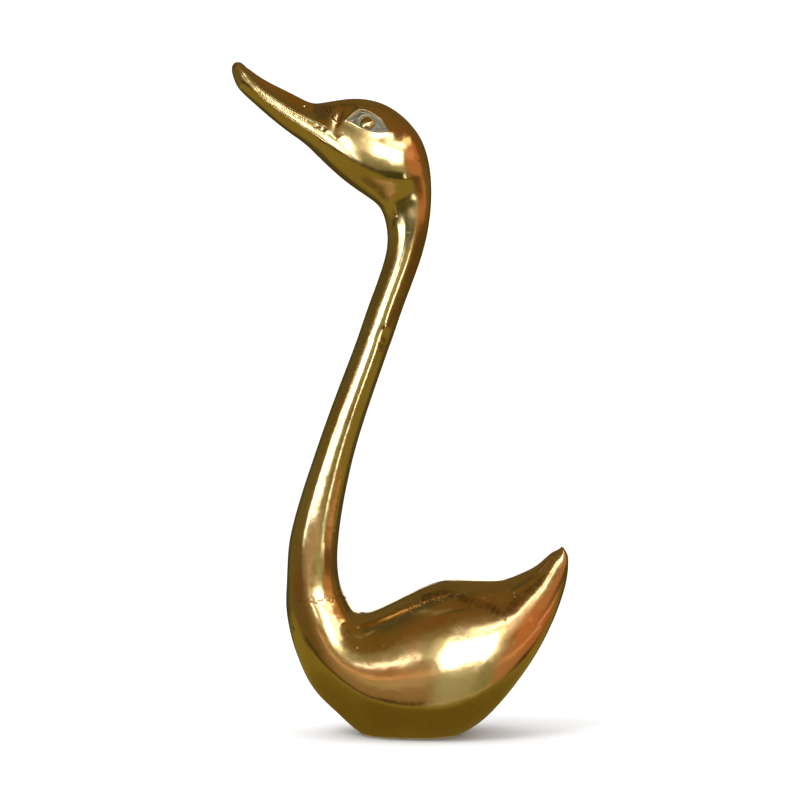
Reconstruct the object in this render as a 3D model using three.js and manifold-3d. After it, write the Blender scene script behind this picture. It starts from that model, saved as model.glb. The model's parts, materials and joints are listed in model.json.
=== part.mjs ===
// Standing brass swan: one casting, bill raised, long S-shaped neck, smooth
// wingless body that ends in an upturned tail and rests on a small flat oval.
// Millimetres, +Z up. The bill points to -X, the tail to +X, and the swan is
// symmetric about the plane Y = 0. Z = 0 is the flat underside.
import * as THREE from 'three';
import { mergeVertices } from 'three/addons/utils/BufferGeometryUtils.js';
import Module from 'manifold-3d';

// ---------------------------------------------------------------- dimensions
// Cross-sections from the tip of the bill to the tip of the tail. Each one
// spans from the back line (crown, nape, back) to the belly line (throat,
// breast, belly):
// [back x, back z, belly x, belly z, half width, sag, upper fullness, lower fullness]
// Sag drops the widest level of the section towards the belly.
const SECTIONS = [
  // bill
  [-120.3, 503.5, -126.5, 498.0, 4.8, 0.00, 0.05, 0.05],
  [-113.0, 498.2, -122.2, 485.5, 8.0, 0.00, 0.06, 0.05],
  [-106.8, 493.6, -114.9, 477.3, 9.3, 0.00, 0.06, 0.00],
  [-76.9, 477.6, -80.6, 448.7, 11.8, 0.00, 0.00, 0.00],
  [-66.4, 472.9, -70.0, 440.7, 13.6, 0.00, 0.00, 0.00],
  // head
  [-58.1, 472.9, -58.9, 429.9, 16.2, 0.05, 0.00, 0.00],
  [-49.2, 474.3, -46.9, 418.6, 19.4, 0.12, 0.00, 0.00],
  [-37.1, 475.8, -35.6, 409.6, 22.4, 0.18, 0.00, 0.00],
  [-8.6, 470.0, -20.5, 399.1, 25.0, 0.18, 0.00, 0.00],
  [14.1, 448.8, -13.4, 390.6, 23.6, 0.03, 0.00, 0.00],
  [23.4, 417.3, -9.8, 375.9, 19.0, 0.00, 0.00, 0.00],
  // neck
  [22.5, 384.4, -10.4, 361.2, 15.6, 0.00, 0.00, 0.00],
  [5.1, 326.0, -23.7, 320.8, 14.2, 0.00, 0.00, 0.00],
  [-2.9, 303.6, -30.9, 299.8, 14.1, 0.00, 0.00, 0.00],
  [-19.4, 257.0, -48.6, 252.6, 14.4, 0.00, 0.00, 0.00],
  [-34.1, 210.4, -65.6, 204.5, 15.4, 0.00, 0.00, 0.00],
  [-43.6, 165.5, -79.5, 159.5, 17.5, 0.00, 0.00, 0.00],
  [-46.3, 144.4, -83.7, 136.9, 19.2, 0.00, 0.00, 0.00],
  [-46.9, 127.8, -84.8, 114.4, 21.6, 0.00, 0.00, 0.00],
  [-44.6, 111.4, -85.1, 93.3, 25.0, 0.00, 0.00, 0.00],
  // breast and body
  [-40.9, 103.2, -82.2, 75.8, 29.4, 0.00, 0.00, 0.00],
  [-36.7, 95.5, -75.2, 54.1, 34.6, 0.03, 0.00, -0.02],
  [-31.6, 91.5, -63.8, 32.7, 39.8, 0.13, 0.00, -0.06],
  [-24.2, 91.2, -47.1, 16.1, 44.2, 0.23, 0.00, -0.12],
  [-14.6, 94.7, -28.6, 0.6, 47.9, 0.30, 0.00, -0.20],
  [-3.3, 100.1, -8.4, -4.6, 50.8, 0.37, 0.00, -0.25],
  [22.9, 111.9, 30.6, -3.9, 54.4, 0.44, 0.00, -0.27],
  [36.3, 115.0, 49.4, 2.5, 53.6, 0.45, 0.00, -0.22],
  // rump and tail
  [64.8, 115.0, 77.8, 27.2, 46.0, 0.46, 0.00, -0.10],
  [78.4, 115.7, 89.4, 42.1, 39.2, 0.47, 0.00, -0.05],
  [90.3, 119.8, 99.4, 56.6, 31.6, 0.47, 0.00, -0.02],
  [100.8, 125.1, 107.7, 70.7, 24.4, 0.46, 0.00, 0.00],
  [115.4, 136.5, 120.1, 98.2, 12.8, 0.40, 0.00, 0.00],
  [119.9, 138.9, 124.0, 110.8, 8.8, 0.32, 0.00, 0.00],
  [122.9, 139.3, 126.0, 122.3, 5.6, 0.22, 0.00, 0.00],
  [124.8, 137.1, 126.6, 127.8, 3.9, 0.10, 0.00, 0.00],
];
const BILL_REACH = 2.0;     // the rounded bill tip runs on past its first section
const BILL_ROUND = 4.4;     // length over which the bill tip closes
const TAIL_REACH = 0.5;
const TAIL_ROUND = 3.2;
const END_POWER = 2.5;      // how blunt the two ends are
const WAIST = 0.30;         // softness of the change from upper to lower half of a section
const CENTRE_X = 0.04;      // middle of the finished length

// Cutting edge of the upper bill: level in the section (1 back line, -1 belly
// line) along the spine, and its height over the smooth form.
const EDGE_LINE = [[0, -0.02], [20, 0.05], [34, 0.12], [47, 0.18], [60, 0.22], [84, 0.19]];
const EDGE_RISE = 0.7;
const EDGE_HALF = 1.3;
const EDGE_ENDS = [6, 82];  // spine lengths where the edge starts and runs out

// Eye: an almond on each side of the head, given in the side view.
const EYE = { x: -23.4, z: 455.2, tilt: -18.5, halfLength: 17.3, halfHeight: 7.2, rise: 0.8 };
const EYEBALL = { x: -24.1, z: 458.6, radius: 5.4, rise: 1.5 };

const BASE_LEVEL = 0;       // the casting is ground flat here
const COLOUR = 0xb4852f;

// ------------------------------------------------------------ mesh divisions
const STEP_BILL = 3.8;      // spacing of the rings along the spine
const STEP_HEAD = 2.8;
const STEP_NECK = 14.5;
const STEP_BODY = 9.0;
const HEAD_FROM = 66;
const HEAD_TO = 150;
const NECK_FROM = 178;
const NECK_TO = 470;

// -------------------------------------------------------------------- spline
// Natural cubic spline through rows of numbers, straight beyond its two ends.
function naturalSpline(t, rows) {
  const n = t.length;
  const width = rows[0].length;
  const h = t.slice(1).map((v, i) => v - t[i]);
  const bend = rows.map(() => new Array(width).fill(0));
  for (let c = 0; c < width; c++) {
    const diag = new Array(n).fill(1);
    const upper = new Array(n).fill(0);
    const rhs = new Array(n).fill(0);
    for (let i = 1; i < n - 1; i++) {
      const slope = (rows[i + 1][c] - rows[i][c]) / h[i] - (rows[i][c] - rows[i - 1][c]) / h[i - 1];
      const m = h[i - 1] / diag[i - 1];
      diag[i] = 2 * (h[i - 1] + h[i]) - m * upper[i - 1];
      upper[i] = h[i];
      rhs[i] = 6 * slope - m * rhs[i - 1];
    }
    for (let i = n - 2; i > 0; i--) bend[i][c] = (rhs[i] - upper[i] * bend[i + 1][c]) / diag[i];
  }
  return (x) => {
    const xc = Math.min(Math.max(x, t[0]), t[n - 1]);
    let i = 0;
    while (i < n - 2 && xc > t[i + 1]) i++;
    const a = (t[i + 1] - xc) / h[i];
    const b = 1 - a;
    return rows[i].map((_, c) => {
      const y0 = rows[i][c], y1 = rows[i + 1][c], m0 = bend[i][c], m1 = bend[i + 1][c];
      let v = a * y0 + b * y1 + ((a ** 3 - a) * m0 + (b ** 3 - b) * m1) * h[i] * h[i] / 6;
      const rise = (y1 - y0) / h[i];
      if (x < t[0]) v += (x - t[0]) * (rise - h[i] * m1 / 6);
      if (x > t[n - 1]) v += (x - t[n - 1]) * (rise + h[i] * m0 / 6);
      return v;
    });
  };
}

const middle = SECTIONS.map((s) => [(s[0] + s[2]) / 2, (s[1] + s[3]) / 2]);
const spine = [0];
for (let i = 1; i < middle.length; i++) {
  spine.push(spine[i - 1] + Math.hypot(middle[i][0] - middle[i - 1][0], middle[i][1] - middle[i - 1][1]));
}
const START = -BILL_REACH;
const END = spine[spine.length - 1] + TAIL_REACH;
const sectionAt = naturalSpline(spine, SECTIONS);

const clamp01 = (v) => Math.min(Math.max(v, 0), 1);
const smooth = (e0, e1, v) => { const k = clamp01((v - e0) / (e1 - e0)); return k * k * (3 - 2 * k); };
function along(line, v) {
  let i = 0;
  while (i < line.length - 2 && v > line[i + 1][0]) i++;
  const k = clamp01((v - line[i][0]) / (line[i + 1][0] - line[i][0]));
  return line[i][1] + k * (line[i + 1][1] - line[i][1]);
}

// Point of the smooth form: t along the spine, phi round the section from the
// back line (0) by the +Y side to the belly line (pi).
function smoothPoint(t, phi) {
  const [bx, bz, vx, vz, half, sag, full1, full2] = sectionAt(t);
  const u0 = clamp01(1 - (t - START) / BILL_ROUND);
  const u1 = clamp01(1 - (END - t) / TAIL_ROUND);
  const close = Math.sqrt(clamp01(1 - u0 ** END_POWER)) * Math.sqrt(clamp01(1 - u1 ** END_POWER));
  const a = Math.cos(phi);
  const b = Math.sin(phi);
  const full = (full1 * (1 + a) + full2 * (1 - a)) / 2;
  const level = a - sag * (1 - (Math.sqrt(a * a + WAIST * WAIST) - WAIST) / (Math.sqrt(1 + WAIST * WAIST) - WAIST));
  const out = b * (1 + full * a * a);
  return new THREE.Vector3(
    (bx + vx) / 2 + (bx - vx) / 2 * close * level - CENTRE_X,
    half * close * out,
    (bz + vz) / 2 + (bz - vz) / 2 * close * level,
  );
}

// Height of the relief over the smooth form.
function relief(t, phi, p) {
  let d = 0;
  const [bx, bz, vx, vz] = sectionAt(t);
  const halfHeight = Math.hypot(bx - vx, bz - vz) / 2;
  const off = (Math.cos(phi) - along(EDGE_LINE, t)) * halfHeight;
  const run = smooth(EDGE_ENDS[0] - 8, EDGE_ENDS[0] + 6, t) * (1 - smooth(EDGE_ENDS[1] - 8, EDGE_ENDS[1], t));
  d += EDGE_RISE * run * Math.exp(-((off / EDGE_HALF) ** 2));
  if (Math.abs(p.y) > 8) {
    const c = Math.cos(THREE.MathUtils.degToRad(EYE.tilt));
    const s = Math.sin(THREE.MathUtils.degToRad(EYE.tilt));
    const dx = p.x + CENTRE_X - EYE.x;
    const dz = p.z - EYE.z;
    const u = (c * dx + s * dz) / EYE.halfLength;
    const v = (-s * dx + c * dz) / EYE.halfHeight;
    const q = u * u + v * v;
    if (q < 1.6) d += EYE.rise * (1 - smooth(0.5, 1.6, q));
    const r = Math.hypot(p.x + CENTRE_X - EYEBALL.x, p.z - EYEBALL.z) / EYEBALL.radius;
    if (r < 1) d += EYEBALL.rise * (1 - r * r);
  }
  return d;
}

const normal = new THREE.Vector3();
function surfacePoint(t, phi) {
  const p = smoothPoint(t, phi);
  const d = relief(t, phi, p);
  if (d === 0) return p;
  const e = 0.02;
  const dt = smoothPoint(t + e, phi).sub(smoothPoint(t - e, phi));
  const dp = smoothPoint(t, phi + e).sub(smoothPoint(t, phi - e));
  normal.crossVectors(dt, dp).normalize();
  return p.addScaledVector(normal, d);
}

// ------------------------------------------------------- rings along the swan
const rings = [];
for (const k of [0.06, 0.25, 0.55]) rings.push(START + BILL_ROUND * k);
for (let t = START + BILL_ROUND; t < END - TAIL_ROUND;) {
  rings.push(t);
  if (t < HEAD_FROM) t += STEP_BILL;
  else if (t < HEAD_TO) t += STEP_HEAD;
  else if (t < NECK_FROM) t += 5;
  else if (t < NECK_TO) t += Math.min(STEP_NECK, 5 + (t - NECK_FROM) * 0.2, 6.5 + (NECK_TO - t) * 0.2);
  else if (t < END - 40) t += STEP_BODY;
  else t += 4;
}
for (const k of [0.98, 0.55, 0.25, 0.06]) rings.push(END - TAIL_ROUND * k);

// Angles round a section on one side, closer together at the level of the eye
// and of the cutting edge of the bill.
const half = [];
for (const [from, to, n] of [[0, 40, 4], [40, 88, 9], [88, 180, 8]]) {
  for (let i = 0; i < n; i++) half.push(from + (to - from) * i / n);
}
const angles = [...half, 180, ...half.slice(1).reverse().map((v) => 360 - v)].map((v) => THREE.MathUtils.degToRad(v));

const position = [];
const index = [];
const round = angles.length;
const push = (p) => position.push(p.x, p.y, p.z);
rings.forEach((t) => angles.forEach((phi) => push(surfacePoint(t, phi))));
push(smoothPoint(START, 0));
push(smoothPoint(END, 0));
const tip = rings.length * round;
for (let i = 0; i < rings.length - 1; i++) {
  for (let j = 0; j < round; j++) {
    const k = (j + 1) % round;
    const a = i * round + j, b = i * round + k, c = (i + 1) * round + j, d = (i + 1) * round + k;
    index.push(a, d, b, a, c, d);
  }
}
for (let j = 0; j < round; j++) {
  const k = (j + 1) % round;
  const last = (rings.length - 1) * round;
  index.push(tip, j, k);
  index.push(tip + 1, last + k, last + j);
}

// --------------------------------------------------------- flat oval underside
const wasm = await Module();
wasm.setup();

function solid(geometry) {
  const g = mergeVertices(geometry.clone().deleteAttribute('normal').deleteAttribute('uv'), 1e-4);
  return new wasm.Manifold(new wasm.Mesh({
    numProp: 3,
    vertProperties: new Float32Array(g.attributes.position.array),
    triVerts: new Uint32Array(g.index.array),
  }));
}

const form = new THREE.BufferGeometry();
form.setAttribute('position', new THREE.Float32BufferAttribute(position, 3));
form.setIndex(index);
const below = new THREE.BoxGeometry(300, 200, 60);
below.translate(0, 0, BASE_LEVEL - 30);
const cut = solid(form).subtract(solid(below)).getMesh();

const geometry = new THREE.BufferGeometry();
geometry.setAttribute('position', new THREE.Float32BufferAttribute(cut.vertProperties, 3));
geometry.setIndex([...cut.triVerts]);
geometry.computeVertexNormals();

const swan = new THREE.Mesh(
  geometry,
  new THREE.MeshStandardMaterial({ color: COLOUR, roughness: 0.2, metalness: 1 }),
);
swan.name = 'swan';

const group = new THREE.Group();
group.add(swan);
export default group;
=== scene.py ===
import json
import math
import bpy
import numpy as np
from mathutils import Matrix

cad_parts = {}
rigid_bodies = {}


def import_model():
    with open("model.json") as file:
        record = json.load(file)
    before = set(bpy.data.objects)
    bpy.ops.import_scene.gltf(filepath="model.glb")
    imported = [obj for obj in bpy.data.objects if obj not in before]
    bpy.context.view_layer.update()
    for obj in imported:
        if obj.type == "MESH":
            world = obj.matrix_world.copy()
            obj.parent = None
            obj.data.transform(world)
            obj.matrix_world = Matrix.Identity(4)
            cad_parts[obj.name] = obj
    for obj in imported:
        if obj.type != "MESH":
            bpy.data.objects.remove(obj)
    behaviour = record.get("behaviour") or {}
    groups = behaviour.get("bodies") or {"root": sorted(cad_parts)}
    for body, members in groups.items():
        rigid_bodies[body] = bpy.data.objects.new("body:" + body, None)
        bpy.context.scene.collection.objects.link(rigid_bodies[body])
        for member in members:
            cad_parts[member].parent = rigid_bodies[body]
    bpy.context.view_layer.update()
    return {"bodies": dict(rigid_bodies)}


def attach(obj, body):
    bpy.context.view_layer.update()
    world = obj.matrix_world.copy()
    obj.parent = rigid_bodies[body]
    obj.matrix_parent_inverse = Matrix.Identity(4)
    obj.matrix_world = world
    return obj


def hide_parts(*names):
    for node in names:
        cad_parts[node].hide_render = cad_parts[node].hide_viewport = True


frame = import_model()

# =====================================================================
# The form of the swan: the solid's cross-sections, 14 of them with another
# half width, millimetres.
# back x, back z, belly x, belly z, half width, sag, upper and lower fullness
# =====================================================================
SECTIONS = np.array([
    [-120.3, 503.5, -126.5, 498.0, 4.8, 0.00, 0.05, 0.05],
    [-113.0, 498.2, -122.2, 485.5, 8.0, 0.00, 0.06, 0.05],
    [-106.8, 493.6, -114.9, 477.3, 9.3, 0.00, 0.06, 0.00],
    [-76.9, 477.6, -80.6, 448.7, 11.8, 0.00, 0.00, 0.00],
    [-66.4, 472.9, -70.0, 440.7, 13.6, 0.00, 0.00, 0.00],
    [-58.1, 472.9, -58.9, 429.9, 16.2, 0.05, 0.00, 0.00],
    [-49.2, 474.3, -46.9, 418.6, 19.4, 0.12, 0.00, 0.00],
    [-37.1, 475.8, -35.6, 409.6, 22.4, 0.18, 0.00, 0.00],
    [-8.6, 470.0, -20.5, 399.1, 25.0, 0.18, 0.00, 0.00],
    [14.1, 448.8, -13.4, 390.6, 23.9, 0.03, 0.00, 0.00],
    [23.4, 417.3, -9.8, 375.9, 17.0, 0.00, 0.00, 0.00],
    [22.5, 384.4, -10.4, 361.2, 14.7, 0.00, 0.00, 0.00],
    [5.1, 326.0, -23.7, 320.8, 14.2, 0.00, 0.00, 0.00],
    [-2.9, 303.6, -30.9, 299.8, 14.1, 0.00, 0.00, 0.00],
    [-19.4, 257.0, -48.6, 252.6, 14.4, 0.00, 0.00, 0.00],
    [-34.1, 210.4, -65.6, 204.5, 15.0, 0.00, 0.00, 0.00],
    [-43.6, 165.5, -79.5, 159.5, 16.2, 0.00, 0.00, 0.00],
    [-46.3, 144.4, -83.7, 136.9, 17.0, 0.00, 0.00, 0.00],
    [-46.9, 127.8, -84.8, 114.4, 19.0, 0.00, 0.00, 0.00],
    [-44.6, 111.4, -85.1, 93.3, 22.4, 0.00, 0.00, 0.00],
    [-40.9, 103.2, -82.2, 75.8, 26.4, 0.00, 0.00, 0.00],
    [-36.7, 95.5, -75.2, 54.1, 30.8, 0.03, 0.00, -0.02],
    [-31.6, 91.5, -63.8, 32.7, 35.4, 0.13, 0.00, -0.06],
    [-24.2, 91.2, -47.1, 16.1, 40.4, 0.23, 0.00, -0.12],
    [-14.6, 94.7, -28.6, 0.6, 45.6, 0.30, 0.00, -0.20],
    [-3.3, 100.1, -8.4, -4.6, 49.6, 0.37, 0.00, -0.25],
    [22.9, 111.9, 30.6, -3.9, 54.4, 0.44, 0.00, -0.27],
    [36.3, 115.0, 49.4, 2.5, 53.6, 0.45, 0.00, -0.22],
    [64.8, 115.0, 77.8, 27.2, 46.0, 0.46, 0.00, -0.10],
    [78.4, 115.7, 89.4, 42.1, 39.2, 0.47, 0.00, -0.05],
    [90.3, 119.8, 99.4, 56.6, 31.6, 0.47, 0.00, -0.02],
    [100.8, 125.1, 107.7, 70.7, 24.4, 0.46, 0.00, 0.00],
    [115.4, 136.5, 120.1, 98.2, 12.8, 0.40, 0.00, 0.00],
    [119.9, 138.9, 124.0, 110.8, 8.8, 0.32, 0.00, 0.00],
    [122.9, 139.3, 126.0, 122.3, 5.6, 0.22, 0.00, 0.00],
    [124.8, 137.1, 126.6, 127.8, 3.9, 0.10, 0.00, 0.00],
])
BILL_REACH, BILL_ROUND = 2.0, 4.4
TAIL_REACH, TAIL_ROUND = 0.5, 3.2
END_POWER = 2.5
WAIST = 0.30
CENTRE_X = 0.04
FOOT_ROUND = 0.9            # the edge of the flat underside is eased by this much


def step(e0, e1, v):
    k = np.clip((v - e0) / (e1 - e0), 0.0, 1.0)
    return k * k * (3.0 - 2.0 * k)


def bell(v, width):
    return np.exp(-(v / width) ** 2)


class Spline:
    """Natural cubic spline through rows of numbers, straight beyond its ends."""

    def __init__(self, t, y):
        t, y = np.asarray(t, float), np.asarray(y, float)
        n, h = len(t), np.diff(t)[:, None]
        A, r = np.zeros((n, n)), np.zeros((n, y.shape[1]))
        A[0, 0] = A[-1, -1] = 1
        for i in range(1, n - 1):
            A[i, i - 1:i + 2] = h[i - 1, 0], 2 * (h[i - 1, 0] + h[i, 0]), h[i, 0]
            r[i] = 6 * ((y[i + 1] - y[i]) / h[i] - (y[i] - y[i - 1]) / h[i - 1])
        self.M, self.t, self.y = np.linalg.solve(A, r), t, y
        self.d0 = (y[1] - y[0]) / h[0] - h[0] * self.M[1] / 6
        self.d1 = (y[-1] - y[-2]) / h[-1] + h[-1] * self.M[-2] / 6

    def __call__(self, x):
        t, y, M = self.t, self.y, self.M
        xc = np.clip(x, t[0], t[-1])
        i = np.clip(np.searchsorted(t, xc, side="right") - 1, 0, len(t) - 2)
        h = (t[i + 1] - t[i])[:, None]
        a = (t[i + 1] - xc)[:, None] / h
        b = 1 - a
        v = a * y[i] + b * y[i + 1] + ((a ** 3 - a) * M[i] + (b ** 3 - b) * M[i + 1]) * h * h / 6
        return v + np.minimum(x - t[0], 0)[:, None] * self.d0 + np.maximum(x - t[-1], 0)[:, None] * self.d1


middle = (SECTIONS[:, 0:2] + SECTIONS[:, 2:4]) / 2
spine = np.r_[0, np.cumsum(np.hypot(*np.diff(middle, axis=0).T))]
section_at = Spline(spine, SECTIONS)
START, END = -BILL_REACH, spine[-1] + TAIL_REACH

# --------------------------------------------------------------- bill shape
# Levels in the section (1 back line, -1 belly line) along the spine.
LIP = np.array([[-2, 0.20], [3, 0.34], [9, 0.42], [15, 0.36], [22, 0.25], [28, 0.20], [45, 0.17], [55, 0.155], [66, 0.175], [76, 0.20], [90, 0.22]])
LOW = np.array([[-2, -0.05], [3, 0.04], [6.5, 0.02], [16, -0.04], [24.5, -0.16], [32, -0.26], [42, -0.27], [50, -0.28], [57, -0.30], [69, -0.32], [80, -0.26], [90, -0.24]])
BILL_FROM, BILL_TO = (1.0, 9.0), (72.0, 92.0)   # where the bill's own section blends in and out


def bill_share(t):
    return step(*BILL_FROM, t) * (1 - step(*BILL_TO, t))


def bill_side(t, a, width, height):
    """Half width of the bill at level a: a roof-like upper bill with a lip, a
    sunk moulding below it and a rounded lower bill."""
    lip, low = np.interp(t, *LIP.T), np.interp(t, *LOW.T)
    up = np.clip((1 - a) / (1 - lip), 0, 1)
    roof = up ** (0.70 + 0.22 * step(8, 40, t)) - 0.10 * np.sin(np.pi * up) * step(10, 35, t)
    down = np.clip((low - a) / (1 + low), 0, 1)
    under = (1 - down ** 1.45) ** 0.60
    mm = (lip - a) * height                      # distance below the lip, mm
    room = (lip - low) * height
    sunk = 0.55 * step(4, 20, t) * (1 - step(74, 84, t))
    v = np.clip(mm / np.maximum(room, 0.5), 0, 1)
    mould = (-sunk + 0.34 * np.sin(np.pi * np.clip((v - 0.22) / 0.72, 0, 1)) ** 1.0 * step(18, 34, t))
    side = np.where(a > lip, width * roof, np.where(a > low, width, (width) * under))
    # lip to moulding and moulding to lower bill, both short steps
    cut = step(0.10, 0.62, mm)
    side = side + np.where(a <= lip, mould * cut * (1 - step(-0.2, 0.5, mm - room)), 0)
    return side


def smooth_form(t, phi):
    """Point of the smooth form, phi round the section from the back line (0) by +Y to the belly line (pi)."""
    V = section_at(t)
    u0 = np.clip(1 - (t - START) / BILL_ROUND, 0, 1)
    u1 = np.clip(1 - (END - t) / TAIL_ROUND, 0, 1)
    close = np.sqrt(np.clip(1 - u0 ** END_POWER, 0, 1)) * np.sqrt(np.clip(1 - u1 ** END_POWER, 0, 1))
    C = (V[:, 0:2] + V[:, 2:4]) / 2
    H = (V[:, 0:2] - V[:, 2:4]) / 2 * close[:, None]
    half = V[:, 4] * close
    a, b = np.cos(phi), np.sin(phi)
    full = V[:, 6] * (1 + a) / 2 + V[:, 7] * (1 - a) / 2
    level = a - V[:, 5] * (1 - (np.sqrt(a * a + WAIST * WAIST) - WAIST) / (math.sqrt(1 + WAIST * WAIST) - WAIST))
    y = half * b * (1 + full * a * a)
    share = bill_share(t)
    k = share > 0
    if k.any():
        height = np.hypot(H[k, 0], H[k, 1])
        y = y.copy()
        y[k] = (1 - share[k]) * y[k] + share[k] * np.sign(b[k]) * bill_side(t[k], a[k], half[k], height)
    X = C + H * level[:, None]
    # the head sits on the neck like a ball: drawn in below it, above the throat
    y = y * (1 - 0.11 * np.exp(-((X[:, 0] + 1) / 17) ** 2 - ((X[:, 1] - 399) / 12) ** 2))
    return np.c_[X[:, 0] - CENTRE_X, y, X[:, 1]]


# ------------------------------------------------------------- small relief
def path_distance(x, z, path):
    """Distance to a line through points, how far along it (0..1), and the side (+ left of its direction)."""
    P = np.asarray(path, float)
    seg = np.hypot(*np.diff(P, axis=0).T)
    run = np.r_[0, np.cumsum(seg)]
    best = np.full(x.shape, 1e9)
    along, side = np.zeros(x.shape), np.zeros(x.shape)
    for i in range(len(P) - 1):
        d = P[i + 1] - P[i]
        k = np.clip(((x - P[i, 0]) * d[0] + (z - P[i, 1]) * d[1]) / (d @ d), 0, 1)
        qx, qz = x - P[i, 0] - k * d[0], z - P[i, 1] - k * d[1]
        r = np.hypot(qx, qz)
        near = r < best
        best = np.where(near, r, best)
        along = np.where(near, (run[i] + k * seg[i]) / run[-1], along)
        side = np.where(near, np.sign(d[0] * qz - d[1] * qx), side)
    return best, along, side


def curve(points, n=8):
    """Catmull-Rom curve through a few points."""
    P = np.asarray(points, float)
    P = np.vstack([2 * P[0] - P[1], P, 2 * P[-1] - P[-2]])
    out = []
    for i in range(1, len(P) - 2):
        for k in np.arange(n) / n:
            p0, p1, p2, p3 = P[i - 1:i + 3]
            out.append(0.5 * (2 * p1 + (p2 - p0) * k + (2 * p0 - 5 * p1 + 4 * p2 - p3) * k * k + (3 * p1 - p0 - 3 * p2 + p3) * k ** 3))
    out.append(P[-2])
    return np.array(out)


def inside(x, z, loop):
    odd = np.zeros(x.shape, bool)
    for (x0, z0), (x1, z1) in zip(loop, np.roll(loop, -1, axis=0)):
        if z0 == z1:
            continue
        hit = ((z0 > z) != (z1 > z)) & (x < (x1 - x0) * (z - z0) / (z1 - z0) + x0)
        odd ^= hit
    return odd


# Eye in the side view, x and z in millimetres.
UPPER_LID = curve([(-40.0, 457.6), (-37.4, 460.1), (-32.2, 464.5), (-28.5, 465.3), (-24.2, 464.7), (-20.5, 462.7), (-14.4, 458.5), (-11.9, 455.2), (-10.4, 452.5), (-7.6, 448.1)], 5)
LOWER_LID = curve([(-40.0, 457.6), (-34.3, 454.9), (-29.1, 451.8), (-23.6, 449.4), (-19.0, 448.1), (-14.4, 447.8), (-7.6, 448.1)], 5)
LID_LOOP = np.vstack([UPPER_LID[:-1], LOWER_LID[::-1][:-1]])
INNER_LID = curve([(-31.0, 458.4), (-29.2, 461.0), (-24.8, 462.4), (-21.7, 461.4), (-19.5, 459.2), (-17.4, 456.8), (-15.6, 453.9), (-15.0, 451.9)], 5)
FOLD = curve([(-17.8, 450.6), (-14.6, 451.6), (-11.6, 450.2)], 5)
BALL, BALL_R, BALL_CURVE = (-24.5, 455.9), 5.4, 7.6
CREASE_A = curve([(-57.0, 466.8), (-53.9, 464.4), (-51.6, 461.6), (-48.0, 457.3)], 5)
CREASE_B = curve([(-53.2, 469.8), (-52.2, 465.6), (-50.4, 461.2), (-47.7, 457.8)], 5)
VALLEY = curve([(-43.0, 468.5), (-43.9, 465.0), (-45.0, 461.6), (-46.6, 457.8), (-47.7, 453.2), (-46.8, 448.4), (-44.6, 444.6)], 5)
SCRATCH = curve([(-73.2, 152.2), (-73.9, 147.1), (-75.0, 143.6), (-78.1, 137.0)], 5)
SEAM = curve([(-52.6, 160.8), (-55.0, 146.7), (-56.4, 127.7), (-56.9, 116.7), (-55.0, 107.3)], 5)

EYE_BOX = (-46.0, -2.0, 441.0, 471.0)

# casting pits: x, z of each in the side view, made in clusters along the back
rng = np.random.default_rng(7)


def pit_set():
    rows = []

    def cluster(n, x0, x1, z0, z1, r0, r1, side=-1):
        for _ in range(n):
            rows.append((rng.uniform(x0, x1), rng.uniform(z0, z1), rng.uniform(r0, r1), side))

    def row(n, ax, az, bx, bz, spread, r0, r1, side=-1):
        for _ in range(n):
            k = rng.uniform(0, 1)
            rows.append((ax + (bx - ax) * k + rng.normal(0, spread), az + (bz - az) * k + rng.normal(0, spread), rng.uniform(r0, r1), side))

    row(26, 8, 96.5, 37, 108.5, 1.6, 0.30, 0.62)       # dense line along the back
    row(14, 22, 103, 48, 108, 2.2, 0.28, 0.55)
    row(8, -2, 95.5, 18, 99, 2.0, 0.28, 0.5)
    cluster(6, 55, 92, 98, 107, 0.28, 0.5)
    cluster(5, 38, 58, 76, 84, 0.28, 0.45)
    cluster(8, -25, 10, 66, 92, 0.22, 0.38)
    cluster(7, -10, 60, 36, 48, 0.2, 0.36)
    rows.append((-31.0, 67.5, 0.55, -1))
    cluster(5, -32, 2, 410, 432, 0.2, 0.34)
    # far side and back, fewer
    cluster(12, -10, 80, 90, 106, 0.28, 0.5, 1)
    cluster(6, -30, 60, 40, 85, 0.25, 0.42, 1)
    return np.array(rows)


PITS = pit_set()


def waves(count, shortest, longest, seed):
    g = np.random.default_rng(seed)
    d = g.normal(size=(count, 3))
    d /= np.linalg.norm(d, axis=1, keepdims=True)
    lam = np.exp(g.uniform(math.log(shortest), math.log(longest), count))
    return d * (2 * math.pi / lam)[:, None], g.uniform(0, 2 * math.pi, count), lam


WAVES_HAND = waves(22, 16, 46, 3)      # slow unevenness of hand finishing
WAVES_FINE = waves(26, 3.2, 9.0, 5)    # small dents and file marks
WAVES_TINY = waves(24, 1.3, 2.6, 9)


def wave_sum(P, w):
    k, ph, lam = w
    s = np.zeros(len(P))
    for i in range(len(ph)):
        s += np.sin(P @ k[i] + ph[i]) * lam[i]
    return s / (math.sqrt(len(ph)) * lam.mean())


# Low edges where the side turns under: along the jaw and round the body.
JAW = curve([(-59.0, 443.2), (-44.9, 434.5), (-33.0, 425.0), (-23.4, 418.8), (-11.6, 414.6), (-3.3, 413.1), (6.1, 413.8), (13.7, 417.5), (18.9, 424.2)], 5)
BILGE = curve([(-69.8, 83.4), (-66.0, 72.5), (-60.0, 61.7), (-51.1, 51.1), (-39.9, 42.2), (-28.8, 35.3), (-17.9, 30.5), (0.4, 26.2), (29.6, 24.9), (51.4, 32.2), (73.3, 45.4), (95.6, 66.4), (106.9, 81.0)], 5)


def edge(x, z, path, tall, above, below, soft):
    d, along, side = path_distance(x, z, path)
    width = np.where(side > 0, above, below)
    k = np.sqrt(d * d + soft * soft) - soft
    return tall * np.exp(-k / width) * np.sin(np.pi * np.clip(along, 0, 1)) ** 0.35


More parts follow.
